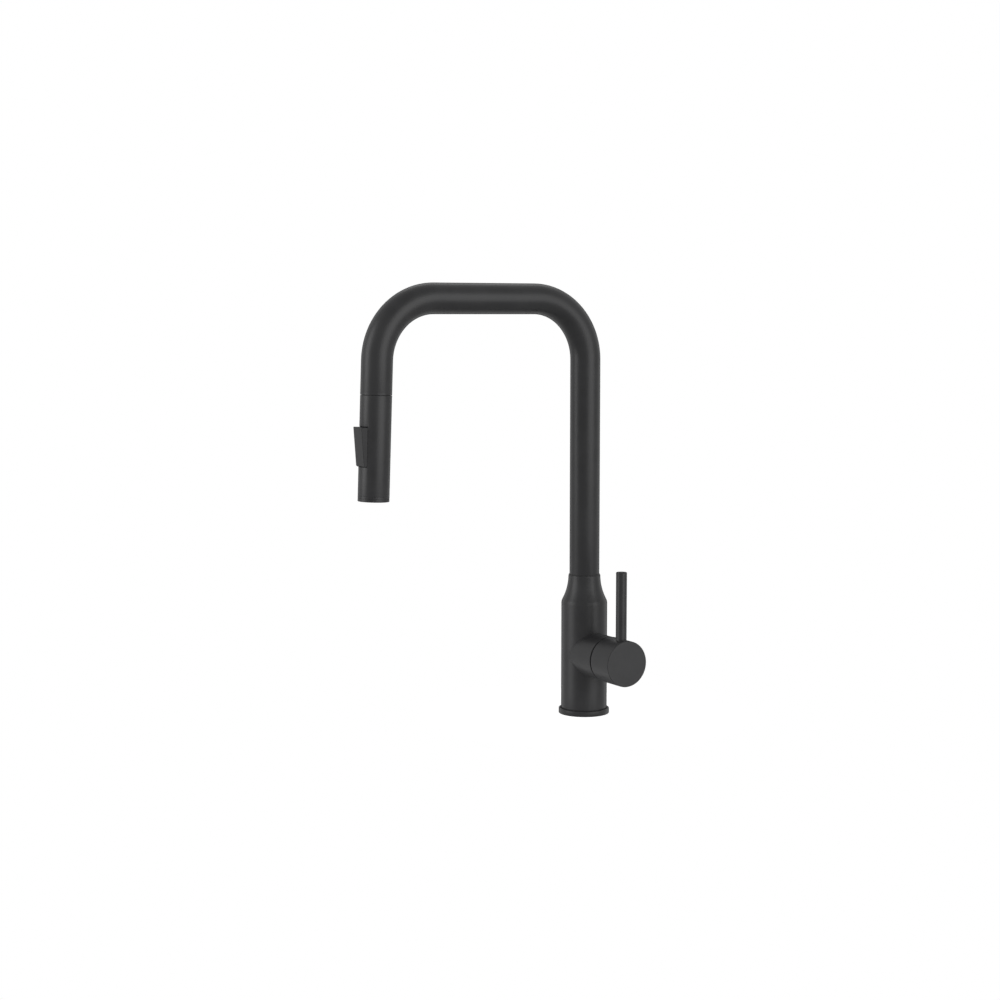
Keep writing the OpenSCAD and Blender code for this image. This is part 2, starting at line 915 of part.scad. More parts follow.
module dock_neck() {
    neck_top_z = dock_depth - catch_h;
    color("#3b3c3e")
        on_leg()
            difference() {
                union() {
                    translate([0, 0, core_top])
                        cylinder(r = core_r, h = head_top - top_plate - core_top);
                    translate([0, 0, core_top])
                        cylinder(r = dock_neck_d / 2, h = neck_top_z - core_top);
                }
                translate([0, 0, lip_top])
                    cylinder(r = ferrule_r + gap, h = 2 * dock_depth);
                translate([0, 0, core_top - cut])
                    cylinder(r = cone_neck_r + gap, h = 2 * dock_depth);
                translate([0, 0, core_top - cut])
                    cylinder(r = cone_flange_r + gap, h = lip_bottom - core_top + cut);
            }
}

module catch_ring() {
    color("#8f9296")
        on_leg(dock_depth - catch_h)
            ring(dock_neck_d / 2, ferrule_r + gap, catch_h);
}

module toggle_pin() {
    color("#b9bcc0")
        on_leg(toggle_pin_z)
            translate([0, -toggle_pin_offset, 0])
                rotate([0, 90, 0])
                    cylinder(d = toggle_pin_d, h = toggle_pin_len - 2 * toggle_pin_inset, center = true);
}

module check_seat() {
    color("#c9c9c2")
        on_leg(check_seat_z)
            ring(check_bore_r, check_ring_r, check_ring_h);
}

module check_cage() {
    color("#c9c9c2")
        on_leg(check_bottom)
            difference() {
                cylinder(r = check_bore_r, h = cage_h);
                translate([0, 0, -cut])
                    cylinder(r = poppet_stem_r + gap, h = cage_h + 2 * cut);
                for (turn = [0 : 60 : 300])
                    rotate([0, 0, turn])
                        translate([cage_hole_place, 0, -cut])
                            cylinder(r = cage_hole_r, h = cage_h + 2 * cut);
            }
}

// Envelope of the valve's coil spring
module check_spring() {
    low = check_bottom + cage_h;
    color("#b9bcc0")
        on_leg(low)
            ring(spring_r, spring_r - spring_wire, poppet_z - low);
}

module check_poppet() {
    color("#d8d8d2")
        on_leg() {
            translate([0, 0, poppet_z])
                cylinder(r = poppet_r, h = poppet_h);
            translate([0, 0, check_bottom])
                cylinder(r = poppet_stem_r, h = poppet_z - check_bottom + poppet_h / 2);
        }
}

module nozzle_ring() {
    for (i = [0 : nozzle_count - 1])
        rotate([0, 0, i * 360 / nozzle_count])
            translate([nozzle_ring_r, 0, 0])
                children();
}

module nozzle_mat() {
    color("#4a4b4d")
        on_leg(plate_z + plate_h) {
            ring(core_r, aerator_d / 2 + seat_fit, mat_h);
            nozzle_ring()
                translate([0, 0, -plate_h - nozzle_reach])
                    ring(nozzle_r, nozzle_bore_r, plate_h + nozzle_reach);
        }
}

module nozzle_plate() {
    color("#262627")
        on_leg(plate_z)
            difference() {
                ring(head_bore_r, aerator_d / 2 + seat_fit, plate_h);
                nozzle_ring()
                    translate([0, 0, -cut])
                        cylinder(r = nozzle_r + hair, h = plate_h + 2 * cut);
            }
}

module aerator_housing() {
    low = plate_z - nozzle_reach;
    color("#262627")
        on_leg(low)
            ring(aerator_d / 2, aerator_d / 2 - aerator_wall, core_bottom + aerator_lap - low);
}

module aerator_screen() {
    color("#8f9296")
        on_leg(plate_z)
            difference() {
                cylinder(r = aerator_d / 2 - aerator_wall - hair, h = screen_h);
                for (i = [-2 : 2], j = [-2 : 2])
                    if (norm([i, j]) < 2.5)
                        translate([(i + j / 2) * screen_pitch, j * screen_pitch * sin(60), -cut])
                            cylinder(r = screen_hole_r, h = screen_h + 2 * cut, $fn = 24);
            }
}

module face_ring() {
    color(finish_black)
        on_leg()
            difference() {
                translate([0, 0, head_bottom]) {
                    cylinder(r1 = head_r - edge, r2 = head_r, h = edge);
                    translate([0, 0, edge])
                        rod(head_r, face_ring_h - edge, edge / 2);
                }
                translate([0, 0, plate_z])
                    cylinder(r = head_bore_r, h = head_len);
                translate([0, 0, head_bottom - cut])
                    cylinder(r = head_bore_r - face_lip, h = head_len);
                translate([0, 0, head_bottom + face_groove])
                    ring(head_r + cut, head_r - face_groove_depth, face_groove_w);
            }
}

// ---------- toggle and diverter ----------

// Side view of the toggle in the head's frame: X is outwards, Y runs up the head
module toggle_outline() {
    outer_top = head_r + toggle_proud;
    inner = toggle_pin_offset + toggle_skin;
    polygon([
        [inner, -toggle_bottom],
        [head_r - toggle_chamfer, -toggle_bottom],
        [head_r, -toggle_bottom + toggle_chamfer],
        [outer_top, -toggle_top],
        [inner + toggle_back_step, -toggle_top],
        [inner, toggle_pin_z + toggle_back_z]
    ]);
    translate([toggle_pin_offset, toggle_pin_z])
        circle(r = toggle_eye_r);
    translate([toggle_pin_offset, toggle_pin_z - toggle_eye_r])
        square([toggle_skin + toggle_back_step / 2, 2 * toggle_eye_r]);
}

module toggle() {
    color(finish_black)
        on_leg()
            difference() {
                union() {
                    rotate([90, 0, -90])
                        translate([0, 0, -toggle_w / 2])
                            linear_extrude(toggle_w)
                                toggle_outline();
                    translate([-finger_w / 2, -toggle_pin_offset, toggle_pin_z - finger_t / 2])
                        cube([finger_w, finger_len, finger_t]);
                }
                translate([0, -toggle_pin_offset, toggle_pin_z])
                    rotate([0, 90, 0])
                        cylinder(d = toggle_pin_d + 2 * running, h = 2 * toggle_w, center = true);
            }
}

module spool() {
    groove = finger_t + 2 * gap;
    color("#c9c9c2")
        on_leg(toggle_pin_z)
            translate([0, spool_y, -spool_len / 2])
                difference() {
                    cylinder(r = spool_r, h = spool_len);
                    translate([0, 0, spool_len / 2 - groove / 2])
                        ring(spool_r + cut, spool_waist_r, groove);
                }
}

// ---------- drawing ----------

base_ring();
base_gasket();
body();
upper_bush();
lower_bush();
thrust_washer();
cartridge_base();
hot_seal();
cold_seal();
mixed_seal();
fixed_disc();
cartridge_housing();
retaining_nut();
dome_cap();
stem_carrier();
stem_pin();
moving_disc();
drive_plate();
stem();
hub();
lever_rod();
set_screw();
screw_plug();
spout_tube();
retaining_clip();
dock_sleeve();
dock_magnet();
hose_guide();
pull_out_hose();
hose_tail();
hose_ferrule();
hose_cone();
cone_seal();
head_shell();
head_core();
core_seal();
dock_neck();
catch_ring();
toggle_pin();
check_seat();
check_cage();
check_spring();
nozzle_mat();
nozzle_plate();
aerator_housing();
aerator_screen();
face_ring();
toggle();
spool();
check_poppet();
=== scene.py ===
"""Single-lever kitchen faucet with a pull-down spray head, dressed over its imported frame.

Sizes are in millimetres, as on a drawing. Finished meshes are in metres in the frame's axes:
origin on the deck under the riser, +Z up, -Y towards the outlet, +X out along the handle.
"""

from __future__ import annotations

import json
import logging
import math
from dataclasses import dataclass, field
from enum import Enum

import bpy
from mathutils import Matrix, Vector

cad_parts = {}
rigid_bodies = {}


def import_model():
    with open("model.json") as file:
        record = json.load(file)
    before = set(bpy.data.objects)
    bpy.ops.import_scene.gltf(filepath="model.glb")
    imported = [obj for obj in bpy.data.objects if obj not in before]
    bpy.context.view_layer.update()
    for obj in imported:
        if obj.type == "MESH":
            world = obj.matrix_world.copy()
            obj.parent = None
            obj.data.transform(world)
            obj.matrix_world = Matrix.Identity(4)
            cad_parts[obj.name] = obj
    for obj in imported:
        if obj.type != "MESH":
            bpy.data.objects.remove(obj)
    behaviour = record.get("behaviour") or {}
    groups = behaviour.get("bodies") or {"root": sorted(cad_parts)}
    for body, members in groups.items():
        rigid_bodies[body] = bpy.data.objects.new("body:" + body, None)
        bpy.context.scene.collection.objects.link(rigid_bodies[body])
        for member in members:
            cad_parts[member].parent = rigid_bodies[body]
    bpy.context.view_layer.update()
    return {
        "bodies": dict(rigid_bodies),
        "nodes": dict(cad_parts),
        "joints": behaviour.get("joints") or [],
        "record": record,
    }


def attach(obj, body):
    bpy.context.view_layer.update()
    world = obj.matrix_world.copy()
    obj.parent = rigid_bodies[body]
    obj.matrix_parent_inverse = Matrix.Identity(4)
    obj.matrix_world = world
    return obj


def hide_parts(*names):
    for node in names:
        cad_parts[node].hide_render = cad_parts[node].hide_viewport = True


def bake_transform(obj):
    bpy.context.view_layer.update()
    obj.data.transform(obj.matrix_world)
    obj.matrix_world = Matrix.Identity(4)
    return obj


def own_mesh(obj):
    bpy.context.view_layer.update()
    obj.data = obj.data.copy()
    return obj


log = logging.getLogger("faucet")

Piece = bpy.types.Object
Socket = bpy.types.NodeSocket
Node = bpy.types.Node
Tree = bpy.types.NodeTree
Point = tuple[float, float, float]
Corner = tuple[float, float, float]
Outline = list[Corner]
Colour = tuple[float, float, float]
Value = float | tuple | Socket
Inputs = dict[str | int, Value]
Layout = tuple[Socket, Socket, Socket]

MM = 0.001
FULL_TURN = 2 * math.pi
QUARTER_TURN = math.pi / 2
WELD = 0.0005  # points closer than this are merged
ARC_STEPS = 4
BEVEL_STEPS = 3
GRAZING = (0.45, 0.95)  # the Facing over which the grain adds up to its grazing roughness
TONE_RANGE = (0.3, 0.7)  # the noise that runs from a finish's darker tone to its lighter one
ALONG_X = (1, 0, 0)
ALONG_Z = (0, 0, 1)
STAY = Matrix.Identity(4)
WHITE = (1, 1, 1, 1)
MIX_FIRST, MIX_SECOND, MIX_RESULT = 6, 7, 2


# ---------- places ----------


class Place(Enum):
    """The three frames in which the faucet's pieces are drawn."""

    DECK = "deck"
    HANDLE = "handle"
    LEG = "leg"


@dataclass
class Frames:
    """Where each drawing frame stands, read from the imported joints."""

    joints: dict[str, dict]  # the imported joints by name

    def matrix(self, place: Place) -> Matrix:
        """Give the matrix that carries a drawing frame into the faucet's frame.

        The handle's Z runs out along its axis, and its X points down. The leg's Z runs back up
        the leg from the dock, and its -Y faces outwards.

        Args:
            place: the drawing frame.

        Returns:
            The 4x4 matrix.
        """
        if place is Place.DECK:
            return STAY
        if place is Place.HANDLE:
            origin = Vector((0, 0, self.joints["handle_turn"]["pos_m"][2]))
            axes = ((0, 0, -1), (0, 1, 0), ALONG_X)
        else:
            origin = Vector(self.joints["head_spin"]["pos_m"])
            up = -Vector(self.joints["head_spin"]["axis"]).normalized()
            axes = (ALONG_X, up.cross(Vector(ALONG_X)), up)
        return Matrix.Translation(origin) @ Matrix(axes).transposed().to_4x4()


# ---------- modelling ----------


def clear_selection() -> None:
    """Leave edit mode and deselect everything."""
    if bpy.context.mode != "OBJECT":
        bpy.ops.object.mode_set(mode="OBJECT")
    bpy.ops.object.select_all(action="DESELECT")


def pick(piece: Piece) -> None:
    """Make a piece the only one selected, and the active one.

    Args:
        piece: the piece.
    """
    clear_selection()
    bpy.context.view_layer.objects.active = piece
    piece.select_set(True)


def weld() -> None:
    """Select all of the open piece and merge what is doubled in it."""
    bpy.ops.mesh.select_all(action="SELECT")
    bpy.ops.mesh.remove_doubles(threshold=WELD)


def extrude(value: Point) -> None:
    """Extrude the selected edges or faces by a step."""
    bpy.ops.mesh.extrude_region_move(TRANSFORM_OT_translate={"value": value})


def oblong(near: float, low: float, far: float, high: float, *edges: float) -> Outline:
    """Give an upright oblong's corners: near and low, far and low, far and high, near and high.

    Args:
        near: where its near side stands.
        low: the height of its foot.
        far: where its far side stands.
        high: the height of its top.
        edges: the rounding of each corner, or nothing where all are sharp.

    Returns:
        The four corners.
    """
    spots = ((near, low), (far, low), (far, high), (near, high))
    return [(*spot, edge) for spot, edge in zip(spots, edges or (0, 0, 0, 0))]


def soft_outline(corners: Outline) -> list[tuple[float, float]]:
    """Round the corners of an outline.

    Args:
        corners: the corners in order, each as its place across, its height and its rounding.

    Returns:
        The outline's points, with an arc in place of each corner that has a rounding.
    """
    points: list[tuple[float, float]] = []
    for i, (across, height, rounding) in enumerate(corners):
        if rounding <= 0:
            points.append((across, height))
            continue
        here = Vector((across, height))
        before = (Vector(corners[i - 1][:2]) - here).normalized()
        after = (Vector(corners[(i + 1) % len(corners)][:2]) - here).normalized()
        half = before.angle(after) / 2
        centre = here + (before + after).normalized() * (rounding / math.sin(half))
        reach = rounding / math.tan(half)
        first = here + before * reach - centre
        turn = first.angle_signed(here + after * reach - centre)
        for k in range(ARC_STEPS + 1):
            spoke = first.copy()
            spoke.rotate(Matrix.Rotation(-turn * k / ARC_STEPS, 2))
            points.append(tuple(centre + spoke))
    return points


def open_piece(name: str) -> Piece:
    """Name the primitive that was just added, and open all of it in edit mode.

    Args:
        name: the piece's name.

    Returns:
        The new object.
    """
    piece = bpy.context.object
    piece.name = name
    piece.data.name = name
    bpy.ops.object.mode_set(mode="EDIT")
    bpy.ops.mesh.select_all(action="SELECT")
    return piece


def start_line(name: str, points: list[Point], closed: bool = True) -> Piece:
    """Open a new piece in edit mode as a line of edges.

    Args:
        name: the piece's name.
        points: the line's points.
        closed: whether the line runs back to its first point.

    Returns:
        The new object, with all of it selected.
    """
    clear_selection()
    bpy.ops.mesh.primitive_plane_add(size=1)
    piece = open_piece(name)
    bpy.ops.mesh.merge(type="CENTER")
    bpy.ops.transform.translate(value=points[0])
    stops = [*points, points[0]] if closed else points
    for here, there in zip(stops, stops[1:]):
        step = tuple(b - a for a, b in zip(here, there))
        bpy.ops.mesh.extrude_vertices_move(TRANSFORM_OT_translate={"value": step})
    weld()
    return piece


def apply_modifier(piece: Piece, kind: str, **settings: object) -> None:
    """Put a modifier on a piece and apply it.

    Args:
        piece: the piece.
        kind: the modifier's type.
        settings: the modifier's values by name.
    """
    step = piece.modifiers.new(kind.lower(), kind)
    for key, value in settings.items():
        setattr(step, key, value)
    pick(piece)
    bpy.ops.object.modifier_apply(modifier=step.name)


@dataclass
class Bench:
    """Shapes pieces by hand operations in one drawing frame, and leaves each in its place."""

    frames: Frames
    place: Place

    def axis(self) -> Point:
        """Give the drawing frame's Z in the faucet's frame."""
        return tuple(self.frames.matrix(self.place).to_3x3() @ Vector(ALONG_Z))

    def point(self, height: float) -> Point:
        """Give a point of the drawing frame's Z in the faucet's frame, in metres."""
        return tuple(self.frames.matrix(self.place) @ (Vector((0, 0, height)) * MM))

    def finish(self, piece: Piece, where: Matrix = STAY, sharp_deg: float = 32) -> Piece:
        """Weld a piece, turn its faces outwards, put its place in its mesh and smooth it.

        Args:
            piece: the piece, drawn in millimetres and in edit mode.
            where: moves the piece inside the drawing frame, in millimetres.
            sharp_deg: edges between faces at a larger angle stay sharp.

        Returns:
            The same piece, in metres.
        """
        weld()
        bpy.ops.mesh.normals_make_consistent(inside=False)
        bpy.ops.object.mode_set(mode="OBJECT")
        piece.matrix_world = self.frames.matrix(self.place) @ Matrix.Scale(MM, 4) @ where
        bpy.ops.object.transform_apply(location=True, rotation=True, scale=True)
        bpy.ops.object.shade_smooth_by_angle(angle=math.radians(sharp_deg))
        return piece

    def turned(
        self, name: str, corners: Outline, segments: int = 96, where: Matrix = STAY
    ) -> Piece:
        """Turn a piece on the lathe: draw its outline and spin it about Z.

        Args:
            name: the piece's name.
            corners: the outline's corners as radius, height and rounding, not closed where it
                begins and ends on the axis.
            segments: how many facets go round.
            where: moves the piece inside the drawing frame.

        Returns:
            The finished piece.
        """
        closed = corners[0][0] > 0
        piece = start_line(name, [(r, 0, z) for r, z in soft_outline(corners)], closed)
        bpy.ops.mesh.spin(steps=segments, angle=FULL_TURN, center=(0, 0, 0), axis=ALONG_Z)
        return self.finish(piece, where)

    def bar(self, radius: float, low: float, high: float, segments: int, where: Matrix) -> Piece:
        """Turn a plain round bar, which shapes another piece."""
        return self.turned("bar", oblong(0, low, radius, high), segments, where)

    def slab(self, name: str, corners: Outline, width: float, rounding: float = 0) -> Piece:
        """Draw a side view in the YZ plane and extrude it across X, centred.

        Args:
            name: the piece's name.
            corners: the side view's corners as Y, Z and rounding.
            width: the size across.
            rounding: how wide every edge is rounded.

        Returns:
            The finished piece.
        """
        piece = start_line(name, [(-width / 2, y, z) for y, z in soft_outline(corners)])
        bpy.ops.mesh.edge_face_add()
        extrude((width, 0, 0))
        if rounding:
            weld()
            bpy.ops.mesh.bevel(offset=rounding, segments=BEVEL_STEPS, clamp_overlap=True)
        return self.finish(piece)

    def coil(
        self, name: str, corners: Outline, pitch: float, turns: float, segments: int, rise: float
    ) -> Piece:
        """Wind a closed section round Z, rising by the pitch on each turn.

        Args:
            name: the piece's name.
            corners: the section's corners as radius, height and rounding.
            pitch: the rise on each turn.
            turns: how many turns it makes.
            segments: how many facets go round.
            rise: the height at which it starts.

        Returns:
            The finished piece, closed at both ends.
        """
        piece = start_line(name, [(r, 0, z) for r, z in soft_outline(corners)])
        bpy.ops.object.mode_set(mode="OBJECT")
        count = round(segments * turns)
        sweep = {"angle": FULL_TURN * turns, "screw_offset": pitch * turns, "steps": count}
        apply_modifier(piece, "SCREW", **sweep, render_steps=count, use_merge_vertices=False)
        bpy.ops.object.mode_set(mode="EDIT")
        bpy.ops.mesh.select_all(action="SELECT")
        bpy.ops.mesh.fill_holes(sides=0)
        return self.finish(piece, Matrix.Translation((0, 0, rise)), sharp_deg=50)

    def repeat(self, piece: Piece, count: int) -> None:
        """Copy a piece evenly round the drawing frame's Z, and join the copies to it.

        Args:
            piece: the piece.
            count: how many there are in the end.
        """
        frame = self.frames.matrix(self.place)
        copies = []
        for i in range(1, count):
            pick(piece)
            bpy.ops.object.duplicate(linked=False)
            turn = Matrix.Rotation(FULL_TURN * i / count, 4, "Z")
            bpy.context.object.matrix_world = frame @ turn @ frame.inverted()
            bpy.ops.object.transform_apply(location=True, rotation=True, scale=True)
            copies.append(bpy.context.object)
        pick(piece)
        for copy in copies:
            copy.select_set(True)
        bpy.ops.object.join()

    def shape(self, piece: Piece, operation: str, *tools: Piece) -> None:
        """Cut closed shapes away from a piece, or add them to it.

        Args:
            piece: what is shaped.
            operation: DIFFERENCE or UNION.
            tools: the closed shapes, which are used up.
        """
        for tool in tools:
            apply_modifier(piece, "BOOLEAN", object=tool, operation=operation, solver="EXACT")
            bpy.data.objects.remove(tool)

    def settle(self, piece: Piece, sharp_deg: float = 40) -> None:
        """Keep a piece's flat faces flat in their shading, up to its rounded edges.

        Args:
            piece: the piece.
            sharp_deg: edges between faces at a larger angle stay sharp.
        """
        pick(piece)
        bpy.ops.object.shade_smooth_by_angle(angle=math.radians(sharp_deg))
        apply_modifier(piece, "WEIGHTED_NORMAL", keep_sharp=True)

    def soften(self, piece: Piece, width: float, sharp_deg: float) -> None:
        """Round a piece's sharp edges.

        Args:
            piece: the piece.
            width: the rounding's width in millimetres.
            sharp_deg: edges between faces at a larger angle are rounded.
        """
        angle = math.radians(sharp_deg)
        edges = {"limit_method": "ANGLE", "angle_limit": angle, "segments": BEVEL_STEPS}
        apply_modifier(piece, "BEVEL", width=width * MM, **edges)
        bpy.ops.object.shade_smooth_by_angle(angle=angle)


# ---------- shader sheets ----------


@dataclass
class Sheet:
    """A node tree that is being laid out."""

    tree: Tree

    def wire(self, node: Node, inputs: Inputs) -> Node:
        """Link outputs to a node's inputs, or write values into them.

        Args:
            node: the node.
            inputs: an output socket or a value for each input, by its name or its number.

        Returns:
            The same node.
        """
        for key, value in inputs.items():
            if isinstance(value, Socket):
                self.tree.links.new(value, node.inputs[key])
            else:
                node.inputs[key].default_value = value
        return node

    def add(self, kind: str, inputs: Inputs, **settings: object) -> Node:
        """Add a node.

        Args:
            kind: the shader node's type.
            inputs: what goes into its inputs, by name or number.
            settings: the node's own options.

        Returns:
            The node.
        """
        node = self.tree.nodes.new(f"ShaderNode{kind}")
        for key, value in settings.items():
            setattr(node, key, value)
        return self.wire(node, inputs)

    def work_out(self, operation: str, *values: Value) -> Socket:
        """Do one sum, named as in the Math node, with its one, two or three numbers."""
        inputs = dict(enumerate(values))
        return self.add("Math", inputs, operation=operation).outputs[0]

    def times(self, first: Value, second: Value) -> Socket:
        """Multiply two numbers."""
        return self.work_out("MULTIPLY", first, second)

    def spread(self, value: Value, low: Value, high: Value, start: Value, end: Value) -> Socket:
        """Map a number smoothly from start and end to low and high, and hold it between them."""
        inputs = {"Value": value, "From Min": start, "From Max": end, "To Min": low, "To Max": high}
        return self.add("MapRange", inputs, interpolation_type="SMOOTHSTEP").outputs[0]

    def mix(self, factor: Value, first: Colour, second: Colour) -> Socket:
        """Mix two colours, the first at 0 and the second at 1."""
        inputs = {"Factor": factor, MIX_FIRST: (*first, 1), MIX_SECOND: (*second, 1)}
        return self.add("Mix", inputs, data_type="RGBA").outputs[MIX_RESULT]

    def noise(self, vector: Value, scale: Value, detail: float) -> Socket:
        """Give soft noise from 0 to 1, with so many cells in a metre and so many finer layers."""
        inputs = {"Vector": vector, "Scale": scale, "Detail": detail}
        return self.add("TexNoise", inputs).outputs["Fac"]

    def seen(self) -> Socket:
        """Tell what is seen from the rest of the light.

        Returns:
            1 for what is seen directly, in a gloss or through glass, and otherwise 0.
        """
        path = self.add("LightPath", {}).outputs
        direct = self.work_out("MAXIMUM", path["Is Camera Ray"], path["Is Glossy Ray"])
        return self.work_out("MAXIMUM", direct, path["Is Transmission Ray"])


class Effect(Enum):
    """The surface effects that several finishes share."""

    GRAIN = "fine_grain"
    TURNING = "turning_marks"
    BRAID = "hose_braid"


@dataclass
class Group(Sheet):
    """A shared effect that is being laid out as a shader node group.

    Each layout gives the effect's height, its tone, and what its roughness leans on.
    """

    vector: Socket  # the place on the piece, in metres
    scale: Socket  # how fine the effect is, per metre

    def grain(self) -> Layout:
        """Lay out the fine grain: tiny cells over slow clouds.

        Returns:
            The cells, the clouds, and both together.
        """
        clouds_per_cell, detail = 0.03, 3.0
        cells = self.noise(self.vector, self.scale, detail)
        clouds = self.noise(self.vector, self.times(self.scale, clouds_per_cell), detail)
        both = self.work_out("SUBTRACT", self.work_out("ADD", cells, clouds), 1.0)
        return cells, self.spread(clouds, 0.0, 1.0, *TONE_RANGE), both

    def turning(self) -> Layout:
        """Lay out the marks that a lathe leaves: fine rings round the piece's own Z axis.

        Returns:
            The rings, their tone, and the rings about zero.
        """
        detail = 4.0
        x, y, z = self.add("SeparateXYZ", {"Vector": self.vector}).outputs
        radius = self.work_out("SQRT", self.work_out("MULTIPLY_ADD", y, y, self.times(x, x)))
        flat = self.add("CombineXYZ", {"X": radius, "Y": z}).outputs[0]
        rings = self.noise(flat, self.scale, detail)
        tone = self.spread(rings, 0.0, 1.0, *TONE_RANGE)
        return rings, tone, self.work_out("SUBTRACT", rings, 0.5)

    def braid(self) -> Layout:
        """Lay out a hose's braid: two sets of strands that cross over and under each other.

        Returns:
            The strands, which set is on top, and a number that falls on the strands' tops.
        """
        strands, crossing, sunk = 12.0, 0.4, 0.55
        x, y, z = self.add("SeparateXYZ", {"Vector": self.vector}).outputs
        round_it = self.times(self.work_out("ARCTAN2", y, x), strands)
        rise = self.times(z, self.scale)
        left = self.work_out("SUBTRACT", round_it, rise)
        over = self.spread(self.work_out("SINE", left), 0.0, 1.0, -crossing, crossing)
        under = self.work_out("SUBTRACT", 1.0, over)
        sets = []
        for phase, on_top in ((self.work_out("ADD", round_it, rise), over), (left, under)):
            strand = self.work_out("ABSOLUTE", self.work_out("SINE", self.times(phase, 0.5)))
            sets.append(self.times(strand, self.spread(on_top, sunk, 1.0, 0.0, 1.0)))
        height = self.work_out("MAXIMUM", *sets)
        return height, over, self.work_out("SUBTRACT", 0.5, height)


def make_group(effect: Effect) -> Tree:
    """Build a shared effect as a shader node group.

    Args:
        effect: the effect.

    Returns:
        The group.
    """
    tree = bpy.data.node_groups.new(effect.value, "ShaderNodeTree")
    tree.interface.new_socket(name="Vector", in_out="INPUT", socket_type="NodeSocketVector")
    for name in ("Scale", "Roughness", "Spread"):
        tree.interface.new_socket(name=name, in_out="INPUT", socket_type="NodeSocketFloat")
    for name in ("Height", "Tone", "Roughness"):
        tree.interface.new_socket(name=name, in_out="OUTPUT", socket_type="NodeSocketFloat")
    given = tree.nodes.new("NodeGroupInput").outputs
    group = Group(tree, given["Vector"], given["Scale"])
    layouts = {Effect.GRAIN: group.grain, Effect.TURNING: group.turning, Effect.BRAID: group.braid}
    height, tone, lean = layouts[effect]()
    roughness = group.work_out("MULTIPLY_ADD", lean, given["Spread"], given["Roughness"])
    results = {"Height": height, "Tone": tone, "Roughness": roughness}
    group.wire(tree.nodes.new("NodeGroupOutput"), results)
    return tree


# ---------- finishes ----------


BLACK = (0.018, 0.018, 0.0188), (0.024, 0.024, 0.0250)


@dataclass(frozen=True)
class Finish:
    """A procedural finish."""

    slot: str  # the record's material slot
    dark: Colour  # its darker and its lighter tone, linear
    light: Colour
    roughness: float
    spread: float  # how far the roughness wanders
    scale: float  # how fine the effect is, per metre
    relief: float  # how high the effect stands, in millimetres
    specular: float = 0.5
    metallic: float = 0.0
    grazing: float = 0.0  # the roughness that its grain adds up to at a grazing look
    effect: Effect = Effect.GRAIN


class Finishes(Enum):
    """The faucet's finishes."""

    COAT = Finish("black_coat", *BLACK, 0.40, 0.08, 1600, 0.006, 0.2, grazing=0.9)
    SHELL = Finish("black_shell", *BLACK, 0.40, 0.08, 1900, 0.005, 0.2, grazing=0.9)
    ROCKER = Finish("black_shell", *BLACK, 0.42, 0.08, 1900, 0.005, 0.13, grazing=0.9)
    BLACK_PLASTIC = Finish(
        "black_plastic", (0.024, 0.024, 0.026), (0.034, 0.034, 0.036), 0.42, 0.16, 2400, 0.006, 0.35
    )
    GREY_PLASTIC = Finish(
        "grey_plastic", (0.050, 0.052, 0.056), (0.068, 0.070, 0.075), 0.40, 0.14, 2200, 0.006, 0.4
    )
    WHITE_PLASTIC = Finish(
        "white_plastic", (0.66, 0.65, 0.60), (0.76, 0.75, 0.71), 0.38, 0.14, 1200, 0.004, 0.45
    )
    BLUE_PLASTIC = Finish(
        "blue_plastic", (0.07, 0.13, 0.22), (0.12, 0.20, 0.30), 0.38, 0.14, 1200, 0.004, 0.45
    )
    CERAMIC = Finish(
        "ceramic", (0.80, 0.77, 0.70), (0.88, 0.86, 0.80), 0.18, 0.08, 3000, 0.001, 0.6
    )
    BLACK_RUBBER = Finish(
        "rubber_black", (0.014, 0.014, 0.014), (0.026, 0.026, 0.026), 0.70, 0.20, 2600, 0.012, 0.3
    )
    GREY_RUBBER = Finish(
        "rubber_grey", (0.075, 0.077, 0.081), (0.105, 0.107, 0.112), 0.62, 0.18, 2600, 0.010, 0.3
    )
    STEEL = Finish(
        "steel", (0.48, 0.49, 0.50), (0.60, 0.61, 0.62), 0.30, 0.22, 5000, 0.004,
        metallic=1.0, effect=Effect.TURNING,
    )
    BRASS = Finish(
        "brass", (0.54, 0.38, 0.15), (0.68, 0.50, 0.24), 0.30, 0.20, 4200, 0.005,
        metallic=1.0, effect=Effect.TURNING,
    )
    MAGNET = Finish(
        "magnet", (0.46, 0.45, 0.42), (0.58, 0.57, 0.54), 0.22, 0.12, 2000, 0.003, metallic=1.0
    )
    BRAID = Finish(
        "hose_braid", (0.050, 0.052, 0.056), (0.16, 0.165, 0.17), 0.55, 0.25, 2100, 0.25, 0.35,
        effect=Effect.BRAID,
    )


